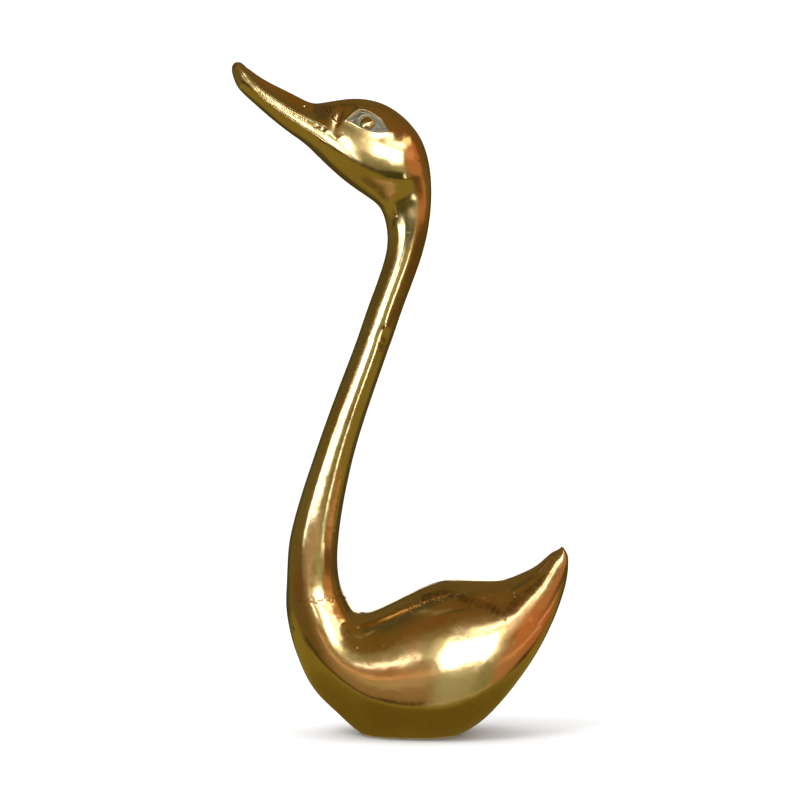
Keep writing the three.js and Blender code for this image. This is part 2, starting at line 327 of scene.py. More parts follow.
def slow(t, P):
    """Low relief of the whole form: hand-made unevenness and the eased edges."""
    x, z = P[:, 0] + CENTRE_X, P[:, 2]
    free = step(4, 30, t) * (1 - 0.6 * step(700, 730, t))
    h = 0.055 * free * wave_sum(P, WAVES_HAND) * (0.5 + 0.5 * step(150, 220, t))
    k = (t > 60) & (t < 190)
    if k.any():
        h[k] += edge(x[k], z[k], JAW, 0.50, 9.0, 3.5, 1.2)
    k = t > 470
    if k.any():
        h[k] += edge(x[k], z[k], BILGE, 1.05, 15.0, 6.0, 1.6)
    return h


def eye_relief(x, z):
    """Height of the eye's carving, how much dark residue lies in it, and the painted shade in its gaps."""
    d_up, _, _ = path_distance(x, z, UPPER_LID)
    d_lo, _, _ = path_distance(x, z, LOWER_LID)
    ins = inside(x, z, LID_LOOP)
    s_up, s_lo = np.where(ins, -d_up, d_up), np.where(ins, -d_lo, d_lo)
    s = np.where(ins, -np.minimum(d_up, d_lo), np.minimum(d_up, d_lo))
    h = 0.45 * np.exp(-(np.maximum(s, 0) / 2.6) ** 2)
    h += 0.42 * bell(s_up - 0.15, 0.62) + 0.16 * bell(s_lo - 0.1, 0.5) * (1 - bell(d_up, 1.5))
    depth = 1.45 * step(0.15, -1.0, s_up) * step(0.10, -0.75, s_lo)
    h -= depth
    d_in, k_in, side_in = path_distance(x, z, INNER_LID)
    under = np.where(side_in < 0, d_in, -d_in)           # positive on the eyeball's side
    fade = step(0.0, 0.08, k_in) * (1 - step(0.93, 1.0, k_in))
    h += 0.62 * bell(d_in, 0.52) * fade * ins
    r = np.hypot(x - BALL[0], z - BALL[1])
    cap = np.sqrt(np.maximum(BALL_CURVE ** 2 - np.minimum(r, BALL_R) ** 2, 0)) - math.sqrt(BALL_CURVE ** 2 - BALL_R ** 2)
    over = step(0.05, 0.55, under) * ins
    ball = (cap + 0.10) * (r < BALL_R) * over
    h += ball * step(0.0, 0.9, -s + 0.35)
    h -= 0.42 * bell(r - BALL_R - 0.25, 0.42) * over
    d_f, k_f, side_f = path_distance(x, z, FOLD)
    h += 0.62 * bell(d_f, 0.5) * ins - 0.25 * bell(d_f - 0.95, 0.4) * (side_f < 0) * ins
    # uneven floor in the inner corner
    h += ins * (0.22 * bell(np.hypot(x + 32.6, z - 460.6), 1.5) + 0.26 * bell(np.hypot(x + 36.6, z - 458.0), 1.2)
                - 0.25 * bell(np.hypot(x + 34.7, z - 459.9), 0.7) - 0.2 * bell(np.hypot(x + 34.8, z - 457.4), 0.8))
    dirt = step(0.25, -0.35, s) * (1 - step(BALL_R + 0.15, BALL_R - 0.35, r) * over)
    rims = np.maximum(bell(s_up - 0.15, 0.5), 0.75 * bell(d_in, 0.34) * fade)
    dirt *= 1 - 0.8 * rims
    # painted shade round the eyeball, in a line inside the upper lid and under the fold
    gap_shade = bell(r - BALL_R - 0.2, 0.55) * over * ins + 0.8 * bell(s_up + 1.1, 0.5) * ins + 0.8 * bell(d_f - 0.95, 0.45) * (side_f < 0) * ins
    return h, dirt, np.clip(gap_shade, 0, 1)


def relief(t, phi, P):
    """Height over the smooth form, silver-grey residue, and the darkening of the hollows: painted shade, partly dark
    patina.
    """
    n = len(t)
    x, y, z = P.T
    x = x + CENTRE_X
    h, dirt, dark = np.zeros(n), np.zeros(n), np.zeros(n)
    near = y < 0
    a = np.cos(phi)
    V = section_at(t)
    height = np.hypot(V[:, 0] - V[:, 2], V[:, 1] - V[:, 3]) / 2
    head = t < 190

    # slow unevenness
    h += slow(t, P)
    h += 0.010 * step(4, 30, t) * wave_sum(P, WAVES_FINE)

    # lips of the bill
    k = (t < 96)
    if k.any():
        tk, ak, hk = t[k], a[k], height[k]
        lip, low = np.interp(tk, *LIP.T), np.interp(tk, *LOW.T)
        off = (ak - lip) * hk
        off2 = (ak - low) * hk
        run = step(1, 8, tk) * (1 - step(80, 90, tk))
        r = 0.34 * bell(off - 0.2, 0.62) * run
        r += -0.30 * bell(off - 3.0 - 0.03 * tk, 2.2) * step(6, 22, tk) * (1 - step(70, 84, tk))
        r += (0.20 * bell(off2 - 0.35, 0.55) * (1 - step(30, 46, tk)) + 0.08 * bell(off2 - 0.5, 1.0) * step(30, 46, tk)) * run
        r -= 0.22 * bell(off2 + 0.25, 0.42) * step(30, 48, tk) * run * (0.7 + 0.3 * np.sin(tk * 1.9) * np.sin(tk * 0.83 + 1))
        # short file strokes across the sunk moulding
        band = step(0.2, 0.9, -off) * step(-0.2, 0.6, off2) * run
        g = np.sin(tk * 3.9 + 2.1 * np.sin(tk * 0.7) + 0.5 * off) + np.sin(tk * 5.3 + 1.3 * np.sin(tk * 0.9) - 0.3 * off)
        r += 0.028 * g * band * step(20, 34, tk)
        # nail at the tip
        nail = bell(tk - 2.5, 3.6) * step(0.1, 0.5, ak)
        r += 0.35 * nail - 0.22 * bell(tk - 8.2, 1.8) * step(0.35, 0.75, ak)
        h[k] += r
        # painted shade in the groove under the lip and along the lower edge of the moulding
        dark[k] += 0.55 * bell(-off - 0.75, 0.45) * run * step(14, 30, tk) + 0.5 * bell(off2 + 0.2, 0.5) * step(34, 50, tk) * run

    # head: nostril, mouth corner, creases, cheek valley, eye
    k = head & (np.abs(y) > 3)
    if k.any():
        xk, zk, nk = x[k], z[k], near[k]
        r, dk, bk = np.zeros(k.sum()), np.zeros(k.sum()), np.zeros(k.sum())
        # nostril: small hole with a raised crescent behind it
        nx, nz = xk + 71.6, zk - 469.2
        q = np.hypot(nx, nz * 1.15)
        r += -0.75 * bell(q, 0.85) + 0.26 * bell(q - 1.55, 0.5) * step(-1.2, 0.8, nx)
        # the hole darkened: painted shade
        bk += 0.9 * bell(q, 0.9)
        # mouth corner
        mx, mz = xk + 56.6, zk - 451.4
        m = np.hypot(mx, mz)
        r += -0.7 * bell(m, 1.25) - 0.35 * bell(np.hypot((mx + 3.6) / 2.6, (mz - 2.2)), 1.2) + 0.35 * bell(np.hypot(mx - 2.6, mz + 1.4), 1.7)
        dk += 0.95 * bell(m, 1.25)
        # painted shade in the hollow beside the mouth corner
        bk += 0.45 * bell(np.hypot((mx + 3.2) / 2.6, mz - 2.2), 1.1)
        for path, deep in ((CREASE_A, 0.62), (CREASE_B, 0.50)):
            d, kk, side = path_distance(xk, zk, path)
            ends = step(0, 0.14, kk) * (1 - 0.5 * step(0.85, 1.0, kk))
            r += ends * (-deep * bell(d, 0.52) + 0.20 * bell(d - 1.15, 0.55))
            # painted shade along the creases
            bk += 0.75 * ends * bell(d, 0.42)
        d, kk, side = path_distance(xk, zk, VALLEY)
        r += -1.0 * bell(d, 2.3) * np.sin(np.pi * np.clip(kk, 0, 1)) ** 0.6
        # brow over the valley and a soft ridge in front of it
        r += 0.45 * bell(np.hypot((xk + 48.2), (zk - 466.5) * 0.6), 2.4)
        box = (xk > EYE_BOX[0]) & (xk < EYE_BOX[1]) & (zk > EYE_BOX[2]) & (zk < EYE_BOX[3])
        if box.any():
            he, de, ge = eye_relief(xk[box], zk[box])
            r[box] += he
            dk[box] += de
            bk[box] += ge
        # crease under the throat
        th, kk, _ = path_distance(xk, zk, [(-9.6, 400.0), (-6.5, 393.0), (-2.5, 387.5)])
        r += -0.16 * bell(th, 0.9) * nk
        h[k] += r
        dirt[k] += dk
        dark[k] += bk

    # neck: filed-over joint, near side stronger
    k = (t > 235) & (t < 325)
    if k.any():
        xk, zk, nk = x[k], z[k], near[k].astype(float)
        f = 0.35 + 0.65 * nk
        r = -0.34 * bell(np.hypot((xk + 13.2) / 7.0, (zk - 297.5) / 13.0), 0.62) * f
        r += 0.30 * bell(np.hypot(xk + 10.0, (zk - 304.6) * 0.8), 2.0) * nk
        r += 0.10 * bell(np.hypot(xk + 22.9, (zk - 302.8) * 0.5), 2.4) * nk
        r += 0.14 * bell(np.hypot(xk + 13.4, zk - 293.8), 1.3) * nk
        r += 0.10 * bell(t[k] - 276, 7.0) * np.sin(phi[k] * 3 + 0.8) - 0.06 * bell(t[k] - 287, 5.0) * np.cos(phi[k] * 2)
        h[k] += r

    # foot of the neck: brazed ring, scratch, faint seam
    k = (t > 440) & (t < 520)
    if k.any():
        xk, zk, nk, pk = x[k], z[k], near[k].astype(float), phi[k]
        level = 101.0 + 0.10 * (xk + 62) + 0.9 * np.sin(xk * 0.55) + 0.35 * np.sin(xk * 1.9 + 1)
        d = zk - level
        f = (0.45 + 0.55 * nk) * step(-84, -74, xk)
        r = f * (0.12 * bell(d, 1.1) - 0.07 * bell(d - 1.7, 1.0) - 0.05 * bell(d + 1.9, 1.2))
        r += 0.05 * f * bell(d, 1.4) * np.sin(xk * 2.6 + 0.5) * step(-64, -52, xk)
        ds, ks, _ = path_distance(xk, zk, SCRATCH)
        r += nk * (-0.30 * bell(ds, 0.42) + 0.10 * bell(ds - 0.8, 0.4)) * np.sin(np.pi * np.clip(ks, 0.03, 0.97)) ** 0.5
        de, ke, _ = path_distance(xk, zk, SEAM)
        r += nk * 0.14 * bell(de, 1.1) * np.sin(np.pi * np.clip(ke, 0.03, 0.97)) ** 0.5
        h[k] += r
        # painted shade in the groove above the brazed ring, stronger on the near side
        dark[k] += 0.25 * f * bell(d - 1.4, 0.6)

    # casting pits
    k = (t > 100)
    if k.any():
        xk, zk, yk = x[k], z[k], y[k]
        r, bk = np.zeros(k.sum()), np.zeros(k.sum())
        for px, pz, pr, side in PITS:
            c = (np.abs(xk - px) < 3 * pr) & (np.abs(zk - pz) < 3 * pr) & (np.sign(yk) == side)
            if c.any():
                q = np.hypot(xk[c] - px, zk[c] - pz) / pr
                r[c] += -0.55 * pr * np.exp(-q ** 4) + 0.05 * pr * bell(q - 1.5, 0.4)
                # each pit darkened: painted shade, partly dark patina
                bk[c] = np.maximum(bk[c], np.exp(-(q / 1.02) ** 4))
        h[k] += r
        dark[k] += bk
    return h, np.clip(dirt, 0, 1), np.clip(dark, 0, 1)


# ---------------------------------------------------- parameters of the mesh
ROUND = 32                  # base cells round a section
LEVELS = 6                  # each base cell may be halved this many times
LONGER = 1.2                # on every wanted edge, so the piece stays under 200,000 triangles
CAP_A, CAP_B = 4, 3         # base rows in the closing ends


def girth(t):
    V = section_at(np.atleast_1d(np.asarray(t, float)))
    p, q = np.hypot(V[:, 0] - V[:, 2], V[:, 1] - V[:, 3]) / 2, V[:, 4]
    return math.pi * (3 * (p + q) - np.sqrt((3 * p + q) * (p + 3 * q)))


nodes = [START + BILL_ROUND]
while nodes[-1] < END - TAIL_ROUND:
    nodes.append(nodes[-1] + float(np.clip(girth(nodes[-1])[0] / ROUND * 0.95, 1.7, 8.5)))
nodes = np.array(nodes)
nodes = nodes[0] + (nodes - nodes[0]) * (END - TAIL_ROUND - nodes[0]) / (nodes[-1] - nodes[0])
ROWS = CAP_A + len(nodes) - 1 + CAP_B


def spine_of(s):
    """Spine length of a row parameter s in 0..ROWS."""
    s = np.clip(s, 0, ROWS)
    mid = np.interp(s, CAP_A + np.arange(len(nodes)), nodes)
    first = START + BILL_ROUND * (1 - np.cos(np.pi / 2 * np.clip(s / CAP_A, 0, 1)))
    last = END - TAIL_ROUND * (1 - np.cos(np.pi / 2 * np.clip((ROWS - s) / CAP_B, 0, 1)))
    return np.where(s < CAP_A, first, np.where(s > ROWS - CAP_B, last, mid))


def flat_foot(P):
    z = P[:, 2]
    r = FOOT_ROUND
    P = P.copy()
    P[:, 2] = np.where(z > r, z, np.where(z < -r, 0.0, (z + r) ** 2 / (4 * r)))
    return P


def form_frame(s, phi):
    t = spine_of(s)
    P = smooth_form(t, phi)
    es = 0.02
    rad = np.maximum(girth(t) / (2 * math.pi), 1.0)
    ep = 0.05 / rad
    ds = smooth_form(spine_of(np.minimum(s + es, ROWS - 1e-3)), phi) - smooth_form(spine_of(np.maximum(s - es, 1e-3)), phi)
    dp = smooth_form(t, phi + ep) - smooth_form(t, phi - ep)
    N = np.cross(ds, dp)
    L = np.linalg.norm(N, axis=1, keepdims=True)
    return t, P, N / np.maximum(L, 1e-12)


def surface(s, phi, extras=False):
    t, P, N = form_frame(s, phi)
    h, dirt, dark = relief(t, phi, P)
    Q = flat_foot(P + N * h[:, None])
    return (Q, dirt, dark) if extras else Q


def wanted(t, phi, P, size):
    """Edge length wanted at a place, mm. size is the half diagonal of the cell asked about."""
    x, y, z = P[:, 0] + CENTRE_X, P[:, 1], P[:, 2]
    a = np.cos(phi)
    want = np.interp(t, [0, 70, 95, 150, 190, 240, 460, 520, 734], [0.62, 0.80, 1.05, 1.15, 1.6, 1.9, 1.9, 2.0, 1.9])
    want = np.where(z < 0.0, 5.0, want)
    want = np.where((np.abs(z) < 2.5 + 0.5 * size) & (t > 500), np.minimum(want, 1.0), want)
    V = section_at(t)
    height = np.hypot(V[:, 0] - V[:, 2], V[:, 1] - V[:, 3]) / 2
    k = t < 92
    off = (a - np.interp(t, *LIP.T)) * height
    off2 = (a - np.interp(t, *LOW.T)) * height
    want = np.where(k & ((np.abs(off) < 1.5 + size) | (np.abs(off2) < 1.0 + size)), np.minimum(want, 0.36), want)
    want = np.where(k & (off < 0) & (off2 > 0), np.minimum(want, 0.45), want)

    def tight(mask, v):
        nonlocal want
        want = np.where(mask, np.minimum(want, v), want)

    sides = np.abs(y) > 3
    loc = (t > 60) & (t < 150) & sides
    if loc.any():
        xk, zk = x[loc], z[loc]
        w = np.full(loc.sum(), 9.0)
        du = np.minimum(path_distance(xk, zk, UPPER_LID)[0], path_distance(xk, zk, LOWER_LID)[0])
        ins = inside(xk, zk, LID_LOOP)
        w = np.where(ins | (du < 1.2 + size[loc]), 0.36, np.where(du < 3 + size[loc], 0.7, w))
        for path in (CREASE_A, CREASE_B):
            w = np.where(path_distance(xk, zk, path)[0] < 1.6 + size[loc], np.minimum(w, 0.36), w)
        w = np.where(path_distance(xk, zk, VALLEY)[0] < 3.5 + size[loc], np.minimum(w, 0.6), w)
        w = np.where(np.hypot(xk + 71.6, zk - 469.2) < 2.4 + size[loc], 0.3, w)
        w = np.where(np.hypot(xk + 57.6, zk - 451.8) < 4.5 + size[loc], np.minimum(w, 0.45), w)
        w = np.where(np.hypot(xk + 48.5, zk - 462.0) < 7 + size[loc], np.minimum(w, 0.6), w)
        g = want[loc]
        want[loc] = np.minimum(g, w)
    near = y < 0
    tight((t > 262) & (t < 292) & near, 1.0)
    tight(near & (np.hypot(x + 10, z - 304.6) < 4 + size) & (t < 330) & (t > 240), 0.6)
    tight((t > 440) & (t < 520) & (np.abs(z - 101.0 - 0.1 * (x + 62)) < 3.2 + size) & (x > -84), np.where(near, 0.55, 0.9))
    k = (t > 425) & (t < 500) & near
    if k.any():
        d = path_distance(x[k], z[k], SCRATCH)[0]
        g = want[k]
        want[k] = np.where(d < 1.0 + size[k], np.minimum(g, 0.3), g)
    k = t > 100
    if k.any():
        xk, yk, zk, sz = x[k], y[k], z[k], size[k]
        g = want[k]
        for px, pz, pr, side in PITS:
            r = np.hypot(xk - px, zk - pz)
            g = np.where((np.sign(yk) == side) & (r < 1.5 * pr + sz), np.minimum(g, 0.62 * pr), g)
        want[k] = g
    return want * LONGER


# ------------------------------------------------- which cells are divided
def cell_info(level, i, j):
    """Centre, size and greatest edge of cells i, j at a level."""
    n = 2.0 ** level
    s0, s1 = i / n, (i + 1) / n
    p0, p1 = j / (n * ROUND) * 2 * math.pi, (j + 1) / (n * ROUND) * 2 * math.pi
    sc, pc = (s0 + s1) / 2, (p0 + p1) / 2
    tc = spine_of(sc)
    A, B = smooth_form(spine_of(s0), pc), smooth_form(spine_of(s1), pc)
    C, D = smooth_form(tc, p0), smooth_form(tc, p1)
    es, ep = np.linalg.norm(B - A, axis=1), np.linalg.norm(D - C, axis=1)
    return tc, pc, (A + B) / 2, es, ep


split = [np.zeros((ROWS * 2 ** L, ROUND * 2 ** L), bool) for L in range(LEVELS)]
ii, jj = [g.ravel() for g in np.meshgrid(np.arange(ROWS), np.arange(ROUND), indexing="ij")]
for L in range(LEVELS):
    tc, pc, Pc, es, ep = cell_info(L, ii, jj)
    want = wanted(tc, pc, Pc, 0.5 * np.hypot(es, ep))
    cut = (np.maximum(es, ep) > 1.5 * want) | (np.sqrt(es * ep) > 1.25 * want)
    ii, jj = ii[cut], jj[cut]
    split[L][ii, jj] = True
    ii, jj = np.r_[ii * 2, ii * 2, ii * 2 + 1, ii * 2 + 1], np.r_[jj * 2, jj * 2 + 1, jj * 2, jj * 2 + 1]
for L in range(LEVELS - 1, 0, -1):      # neighbours differ by one level at most
    m = split[L]
    wide = m.copy()
    wide[1:] |= m[:-1]
    wide[:-1] |= m[1:]
    wide |= np.roll(m, 1, 1) | np.roll(m, -1, 1)
    split[L - 1] |= wide.reshape(m.shape[0] // 2, 2, m.shape[1] // 2, 2).any(axis=(1, 3))

F = 2 ** (LEVELS + 1)                   # finest grid, one finer than the smallest cell
NI, NJ = ROWS * F, ROUND * F
leaf = []
exists = np.ones((ROWS, ROUND), bool)
for L in range(LEVELS + 1):
    here = exists & ~split[L] if L < LEVELS else exists
    i, j = np.nonzero(here)
    leaf.append((L, i, j))
    if L < LEVELS:
        exists = np.kron(split[L] & exists, np.ones((2, 2), bool)).astype(bool)


def is_split(L, i, j):
    if L >= LEVELS:
        return np.zeros(len(i), bool)
    ok = (i >= 0) & (i < ROWS * 2 ** L)
    out = np.zeros(len(i), bool)
    out[ok] = split[L][i[ok], j[ok] % (ROUND * 2 ** L)]
    return out


faces, fan_faces = [], []
for L, i, j in leaf:
    if not len(i):
        continue
    c = F >> L
    I0, J0 = i * c, j * c
    hang = [is_split(L, i - 1, j), is_split(L, i, j + 1), is_split(L, i + 1, j), is_split(L, i, j - 1)]
    plain = ~(hang[0] | hang[1] | hang[2] | hang[3])
    I, J = I0[plain], J0[plain]
    faces.append(np.stack([np.stack([I, J], -1), np.stack([I + c, J], -1), np.stack([I + c, J + c], -1), np.stack([I, J + c], -1)], 1))
    k = np.nonzero(~plain)[0]
    h = c // 2
    for q in k:
        a, b = int(I0[q]), int(J0[q])
        loop = [(a, b)]
        if hang[3][q]:
            loop.append((a + h, b))
        loop.append((a + c, b))
        if hang[2][q]:
            loop.append((a + c, b + h))
        loop.append((a + c, b + c))
        if hang[1][q]:
            loop.append((a + h, b + c))
        loop.append((a, b + c))
        if hang[0][q]:
            loop.append((a, b + h))
        m = (a + h, b + h)
        for u, v in zip(loop, loop[1:] + loop[:1]):
            fan_faces.append((m, u, v))
quads = np.concatenate(faces)                       # n, 4, 2
tris = np.array(fan_faces) if fan_faces else np.zeros((0, 3, 2), int)


def key_of(IJ):
    I, J = IJ[..., 0], IJ[..., 1]
    J = np.where((I == 0) | (I == NI), 0, J % NJ)
    return I.astype(np.int64) * NJ + J


kq, kt = key_of(quads), key_of(tris)
keys, inverse = np.unique(np.concatenate([kq.ravel(), kt.ravel()]), return_inverse=True)
fq = inverse[:kq.size].reshape(kq.shape)
ft = inverse[kq.size:].reshape(kt.shape)
vs, vphi = (keys // NJ) / F, (keys % NJ) / NJ * 2 * math.pi
Q, dirt, dark = surface(vs, vphi, extras=True)

# normals of the carved surface
es = 0.03 / np.maximum(np.abs(spine_of(vs + 0.05) - spine_of(vs - 0.05)) / 0.1, 0.6)
rad = np.maximum(girth(spine_of(vs)) / (2 * math.pi), 1.5)
ep = 0.03 / rad
d1 = surface(np.minimum(vs + es, ROWS - 1e-4), vphi) - surface(np.maximum(vs - es, 1e-4), vphi)
d2 = surface(vs, vphi + ep) - surface(vs, vphi - ep)
N = np.cross(d1, d2)
NL = np.linalg.norm(N, axis=1, keepdims=True)
N = N / np.maximum(NL, 1e-12)
N[vs <= 0] = (-0.72, 0.0, 0.69)
N[vs >= ROWS] = (0.77, 0.0, 0.64)
N[NL[:, 0] < 1e-9] = (0, 0, -1)

# quads that collapse at the two ends become triangles
loops, starts, sizes, loop_param = [], [], [], []
total = 0
polys = [(fq, quads), (ft, tris)]
all_loops, all_sizes, all_uv = [], [], []
for f, ij in polys:
    if not len(f):
        continue
    n = f.shape[1]
    bad = np.zeros(len(f), bool)
    for q in range(n):
        bad |= f[:, q] == f[:, (q + 1) % n]
    good = ~bad
    all_loops.append(f[good].ravel())
    all_sizes.append(np.full(good.sum(), n))
    all_uv.append(ij[good].reshape(-1, 2))
    for r in np.nonzero(bad)[0]:
        keep = [q for q in range(n) if f[r, q] != f[r, (q + 1) % n]]
        if len(keep) >= 3:
            all_loops.append(f[r, keep])
            all_sizes.append(np.array([len(keep)]))
            all_uv.append(ij[r, keep])
loops, sizes, param = np.concatenate(all_loops), np.concatenate(all_sizes), np.concatenate(all_uv).astype(float)
starts = np.r_[0, np.cumsum(sizes)[:-1]]

mesh = bpy.data.meshes.new("swan_brass")
mesh.vertices.add(len(Q))
mesh.vertices.foreach_set("co", (Q / 1000.0).astype(np.float32).ravel())
mesh.loops.add(len(loops))
mesh.loops.foreach_set("vertex_index", loops.astype(np.int32))
mesh.polygons.add(len(sizes))
mesh.polygons.foreach_set("loop_start", starts.astype(np.int32))
mesh.polygons.foreach_set("loop_total", sizes.astype(np.int32))
mesh.update(calc_edges=True)
mesh.validate()
mesh.polygons.foreach_set("use_smooth", np.ones(len(mesh.polygons), bool))

# texture layout: the head gets the most room, the seam runs along the belly
u_rate = Spline([-2, 60, 100, 150, 200, 460, 560, 735], np.array([[1.7, 1.9, 2.6, 2.0, 1.0, 1.0, 1.2, 1.2]]).T)
ug = np.linspace(START, END, 600)
uc = np.r_[0, np.cumsum((u_rate(ug)[1:, 0] + u_rate(ug)[:-1, 0]) / 2 * np.diff(ug))]
uc /= uc[-1]
pj = np.mod(param[:, 1] / NJ - 0.5, 1.0)
first = np.repeat(pj[starts], sizes)
# a face stays on one side of the seam: its corners are unwrapped from its centre
mean = np.repeat(np.add.reduceat(param[:, 1], starts) / sizes, sizes)
pj = np.mod(mean / NJ - 0.5, 1.0) + (param[:, 1] - mean) / NJ
uv = np.c_[0.004 + 0.992 * np.interp(spine_of(param[:, 0] / F), ug, uc), 0.004 + 0.992 * np.clip(pj, 0, 1)]
layer = mesh.uv_layers.new(name="OFBake")
layer.data.foreach_set("uv", uv.astype(np.float32).ravel())

# copper-orange spots, partly a copper blush and partly painted orange reflections and glints, and a dark line along the
# back
def spots(rows, x, z):
    v = np.zeros(len(x))
    for cx, cz, rx, rz, lean, amount in rows:
        c, s = math.cos(math.radians(lean)), math.sin(math.radians(lean))
        u, w = ((x - cx) * c + (z - cz) * s) / rx, (-(x - cx) * s + (z - cz) * c) / rz
        v = np.maximum(v, amount * np.exp(-(u * u + w * w) ** 1.5))
    return v


# spots: x, z, two radii, lean, amount; copper blush and painted orange reflections and glints
COPPER_AND_REFLECTION_SPOTS = [(99, 82, 24, 19, 40, 0.9), (9, 73, 7, 19, 10, 0.6), (-10, 52, 24, 6, -4, 0.7), (12, 434, 8, 17, 10, 0.85), (5, 448, 10, 6, 0, 0.7),
         (-45.5, 458, 3.2, 11, 0, 0.8), (-44, 468.5, 5, 3, 0, 0.8), (-57, 467.5, 4, 2.5, 0, 0.7), (-75, 110, 4.5, 13, 0, 0.8), (14, 405, 4, 26, 4, 0.5),
         (58, 96, 30, 9, 12, 0.25), (-42, 100, 5, 9, 0, 0.6), (27, 90, 14, 5, 25, 0.6)]
# a dark wavy line along the upper back
BACK_DARK_LINE = curve([(18, 103), (33, 107), (44, 104), (53, 101.5), (66, 97.5), (76, 94), (82, 97), (88, 103), (103, 112), (117, 122)], 5)
xs, zs, side_y = Q[:, 0] + CENTRE_X, Q[:, 2], Q[:, 1]
copper_and_reflection = np.where(side_y < 0, spots(COPPER_AND_REFLECTION_SPOTS, xs, zs), 0.6 * spots([(-99 + 180, 82, 22, 17, 40, 0.8), (10, 70, 9, 16, 0, 0.6), (8, 440, 10, 14, 0, 0.7), (-70, 115, 6, 14, 0, 0.6)], xs, zs))
ds, ks, _ = path_distance(xs, zs, BACK_DARK_LINE)
# darker along that line, with a broad darker band round it, near side only
back_dark_line = np.where((side_y < 0) & (vs > 10) & (zs < 140) & (zs > 60), np.maximum(bell(ds - 1.2, 1.8), 0.35 * bell(ds, 7.0)), 0.0)
for name, values in (("residue", dirt), ("recess_shade_and_patina", dark), ("copper_and_reflection", copper_and_reflection), ("back_dark_line", back_dark_line)):
    att = mesh.attributes.new(name, "FLOAT", "POINT")
    att.data.foreach_set("value", values.astype(np.float32))
mesh.normals_split_custom_set_from_vertices(N.astype(np.float32).tolist())

swan = bpy.data.objects.new("swan_brass", mesh)
bpy.context.scene.collection.objects.link(swan)
print("swan_brass: vertices", len(mesh.vertices), "triangles", int((sizes - 2).sum()))


# =====================================================================
# Materials
# =====================================================================
def new_material(name):
    m = bpy.data.materials.new(name)
    m.use_nodes = True
    m.node_tree.nodes.clear()
    return m, m.node_tree.nodes, m.node_tree.links


def ramp(nodes, stops, interpolation="LINEAR"):
    r = nodes.new("ShaderNodeValToRGB")
    r.color_ramp.interpolation = interpolation
    e = r.color_ramp.elements
    while len(e) < len(stops):
        e.new(0.5)
    for el, (pos, col) in zip(e, stops):
        el.position = pos
        el.color = (*col, 1) if len(col) == 3 else col
    return r


def grey(v):
    return (v, v, v)


brass, nd, ln = new_material("worn_polished_brass")
out = nd.new("ShaderNodeOutputMaterial")
bsdf = nd.new("ShaderNodeBsdfPrincipled")
bsdf.inputs["Metallic"].default_value = 1.0
ln.new(bsdf.outputs["BSDF"], out.inputs["Surface"])
coord = nd.new("ShaderNodeTexCoord")


def noise(scale, detail=3.0, rough=0.5, distortion=0.0, stretch=None, offset=(0, 0, 0)):
    m = nd.new("ShaderNodeMapping")
    m.inputs["Scale"].default_value = stretch or (1, 1, 1)
    m.inputs["Location"].default_value = offset
    ln.new(coord.outputs["Object"], m.inputs["Vector"])
    n = nd.new("ShaderNodeTexNoise")
    n.inputs["Scale"].default_value = scale
    n.inputs["Detail"].default_value = detail
    n.inputs["Roughness"].default_value = rough
    n.inputs["Distortion"].default_value = distortion
    ln.new(m.outputs["Vector"], n.inputs["Vector"])
    return n.outputs["Fac"]


def mix(fac, a, b, kind="MIX"):
    m = nd.new("ShaderNodeMix")
    m.data_type = "RGBA"
    m.blend_type = kind
    for socket, v in ((m.inputs[0], fac), (m.inputs[6], a), (m.inputs[7], b)):
        if isinstance(v, (int, float)):
            socket.default_value = v
        elif isinstance(v, tuple):
            socket.default_value = (*v, 1)
        else:
            ln.new(v, socket)
    return m.outputs[2]


def maths(op, a, b=0.0, clamp=False):
    m = nd.new("ShaderNodeMath")
    m.operation = op
    m.use_clamp = clamp
    for socket, v in zip(m.inputs, (a, b)):
        if isinstance(v, (int, float)):
            socket.default_value = v
        else:
            ln.new(v, socket)
    return m.outputs[0]


def scale_to(v, lo0, hi0, lo1, hi1):
    m = nd.new("ShaderNodeMapRange")
    ln.new(v, m.inputs["Value"])
    for s, x in zip(("From Min", "From Max", "To Min", "To Max"), (lo0, hi0, lo1, hi1)):
        m.inputs[s].default_value = x
    return m.outputs["Result"]


def attribute(name):
    a = nd.new("ShaderNodeAttribute")
    a.attribute_name = name
    return a.outputs["Fac"]


residue, recess_shade_and_patina = attribute("residue"), attribute("recess_shade_and_patina")
tone = ramp(nd, [(0.30, (0.74, 0.55, 0.26)), (0.50, (0.80, 0.63, 0.34)), (0.72, (0.84, 0.69, 0.41))])
ln.new(noise(21, 3, 0.55), tone.inputs["Fac"])
blush = ramp(nd, [(0.55, grey(0)), (0.74, grey(0.55))])
ln.new(noise(13, 4, 0.6, 0.4, offset=(3.1, 0.4, 1.7)), blush.inputs["Fac"])
colour = mix(blush.outputs["Color"], tone.outputs["Color"], (0.80, 0.53, 0.28))
copper_and_reflection = maths("MULTIPLY", attribute("copper_and_reflection"), scale_to(noise(85, 4, 0.6, 0.5, offset=(2, 2, 9)), 0.30, 0.62, 0.45, 1.1), True)
# copper-orange colour: copper blush and painted orange reflections and glints
colour = mix(copper_and_reflection, colour, (0.86, 0.47, 0.26))
# darkening along the line on the back
back_dark_line = maths("MULTIPLY", attribute("back_dark_line"), scale_to(noise(120, 4, 0.65, 0.8, offset=(4, 8, 1)), 0.32, 0.66, 0.25, 1.15), True)
colour = mix(maths("MULTIPLY", back_dark_line, 0.75), colour, (0.20, 0.125, 0.05))
film = ramp(nd, [(0.52, grey(0)), (0.80, grey(0.5))])
ln.new(noise(70, 5, 0.65, 0.6, offset=(0.3, 5.0, 2.2)), film.inputs["Fac"])
colour = mix(film.outputs["Color"], colour, (0.60, 0.42, 0.15))
